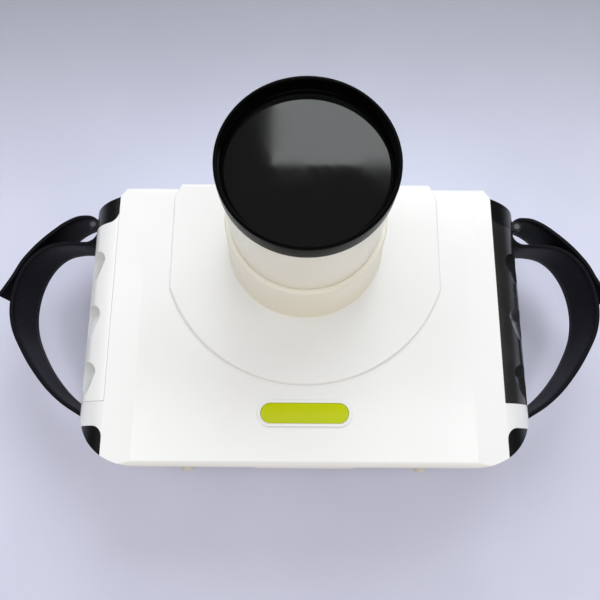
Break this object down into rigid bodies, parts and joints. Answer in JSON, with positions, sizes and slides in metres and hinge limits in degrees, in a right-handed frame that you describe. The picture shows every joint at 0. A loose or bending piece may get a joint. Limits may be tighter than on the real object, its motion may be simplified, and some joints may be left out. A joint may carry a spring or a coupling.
{
  "type": "portable dental x-ray unit",
  "caption": "Hand-held dental x-ray unit: flat box housing with a stepped beam cone, black end ring, finger-grooved grips and a hand strap on each side.",
  "frame": {"origin": "centre of the bounding box's bottom, the unit lying on its back on its rear rim", "axes": "+Z along the beam, out of the cone; +Y towards the unit's top face; +X across the front face, to the right as seen from in front"},
  "size_m": [0.3116, 0.1414, 0.1627],
  "materials": {
    "housing_white": "glossy",
    "cone_white": "semi-gloss",
    "black_gloss": "glossy",
    "black_satin": "satin",
    "strap": "smooth, semi-matt",
    "lime": "glossy",
    "cream_rubber": "matt",
    "steel": "satin",
    "brass": "machined",
    "display_glass": "glossy",
    "display_panel": "semi-gloss",
    "key_grey": "matt",
    "button_orange": "semi-gloss",
    "lamp_green": "glossy",
    "board_green": "semi-matt",
    "cell_blue": "semi-gloss",
    "tray_grey": "matt",
    "aluminium": "machined",
    "lead": "dull",
    "tube_glass": "clear",
    "copper": "machined",
    "coil_brown": "varnished",
    "gasket_rubber": "matt",
    "switch_black": "matt"
  },
  "bodies": {
    "housing": {"anode": "copper", "back_shell": "housing_white", "badge_frame": "housing_white", "badge_plate": "lime", "battery_cells": "cell_blue", "battery_tray": "tray_grey", "beam_filter": "aluminium", "beam_window": "black_gloss", "board_spacers": "brass", "buzzer": "switch_black", "case_screws": "steel", "cathode": "steel", "charging_socket": "switch_black", "cone_end_ring": "black_satin", "cone_neck": "cone_white", "cone_tube": "cone_white", "corner_guard_bottom_left": "black_satin", "corner_guard_bottom_right": "black_satin", "corner_guard_top_left": "black_satin", "corner_guard_top_right": "black_satin", "display_window": "display_glass", "exposure_button_collar": "black_satin", "exposure_switch": "switch_black", "feet": "cream_rubber", "flap_pin": "steel", "front_shell": "housing_white", "grip_panel_left": "housing_white", "grip_panel_right": "black_gloss", "high_voltage_transformer": "coil_brown", "inverter_board": "board_green", "lcd_module": "display_panel", "lead_collimator": "lead", "main_board": "board_green", "neck_screws": "steel", "panel_board": "board_green", "power_button_collar": "black_satin", "power_switch": "switch_black", "status_lamp": "lamp_green", "strap_bars": "steel", "strap_brackets": "black_satin", "strap_left": "strap", "strap_right": "strap", "tank_cover": "aluminium", "tank_cover_screws": "steel", "tank_gasket": "gasket_rubber", "tripod_bush": "brass", "tripod_plate": "housing_white", "tube_head_screws": "steel", "tube_head_tank": "aluminium", "xray_tube_glass": "tube_glass"},
    "exposure_button": {"exposure_button": "button_orange"},
    "power_button": {"power_button": "key_grey"},
    "socket_flap": {"socket_flap": "cream_rubber"},
    "key_tooth": {"key_tooth": "key_grey"},
    "key_patient": {"key_patient": "key_grey"},
    "key_film": {"key_film": "key_grey"},
    "key_minus": {"key_minus": "key_grey"},
    "key_ready": {"key_ready": "key_grey"},
    "key_plus": {"key_plus": "key_grey"}
  },
  "joints": [
    {"name": "exposure_button_press", "type": "slide", "parent": "housing", "child": "exposure_button", "axis": [0, -1, 0], "range_m": [0, 0.002], "stiffness_N_per_m": 600, "springref_m": -0.002},
    {"name": "power_button_press", "type": "slide", "parent": "housing", "child": "power_button", "axis": [0, -1, 0], "range_m": [0, 0.0015], "stiffness_N_per_m": 600, "springref_m": -0.0015},
    {"name": "socket_flap_hinge", "type": "hinge", "parent": "housing", "child": "socket_flap", "pos_m": [0.04, -0.06685, 0.0241], "axis": [1, 0, 0], "range_deg": [0, 100]},
    {"name": "key_tooth_press", "type": "slide", "parent": "housing", "child": "key_tooth", "axis": [0, 0, 1], "range_m": [0, 0.0006], "stiffness_N_per_m": 900, "springref_m": -0.0006},
    {"name": "key_patient_press", "type": "slide", "parent": "housing", "child": "key_patient", "axis": [0, 0, 1], "range_m": [0, 0.0006], "stiffness_N_per_m": 900, "springref_m": -0.0006},
    {"name": "key_film_press", "type": "slide", "parent": "housing", "child": "key_film", "axis": [0, 0, 1], "range_m": [0, 0.0006], "stiffness_N_per_m": 900, "springref_m": -0.0006},
    {"name": "key_minus_press", "type": "slide", "parent": "housing", "child": "key_minus", "axis": [0, 0, 1], "range_m": [0, 0.0006], "stiffness_N_per_m": 900, "springref_m": -0.0006},
    {"name": "key_ready_press", "type": "slide", "parent": "housing", "child": "key_ready", "axis": [0, 0, 1], "range_m": [0, 0.0006], "stiffness_N_per_m": 900, "springref_m": -0.0006},
    {"name": "key_plus_press", "type": "slide", "parent": "housing", "child": "key_plus", "axis": [0, 0, 1], "range_m": [0, 0.0006], "stiffness_N_per_m": 900, "springref_m": -0.0006}
  ]
}
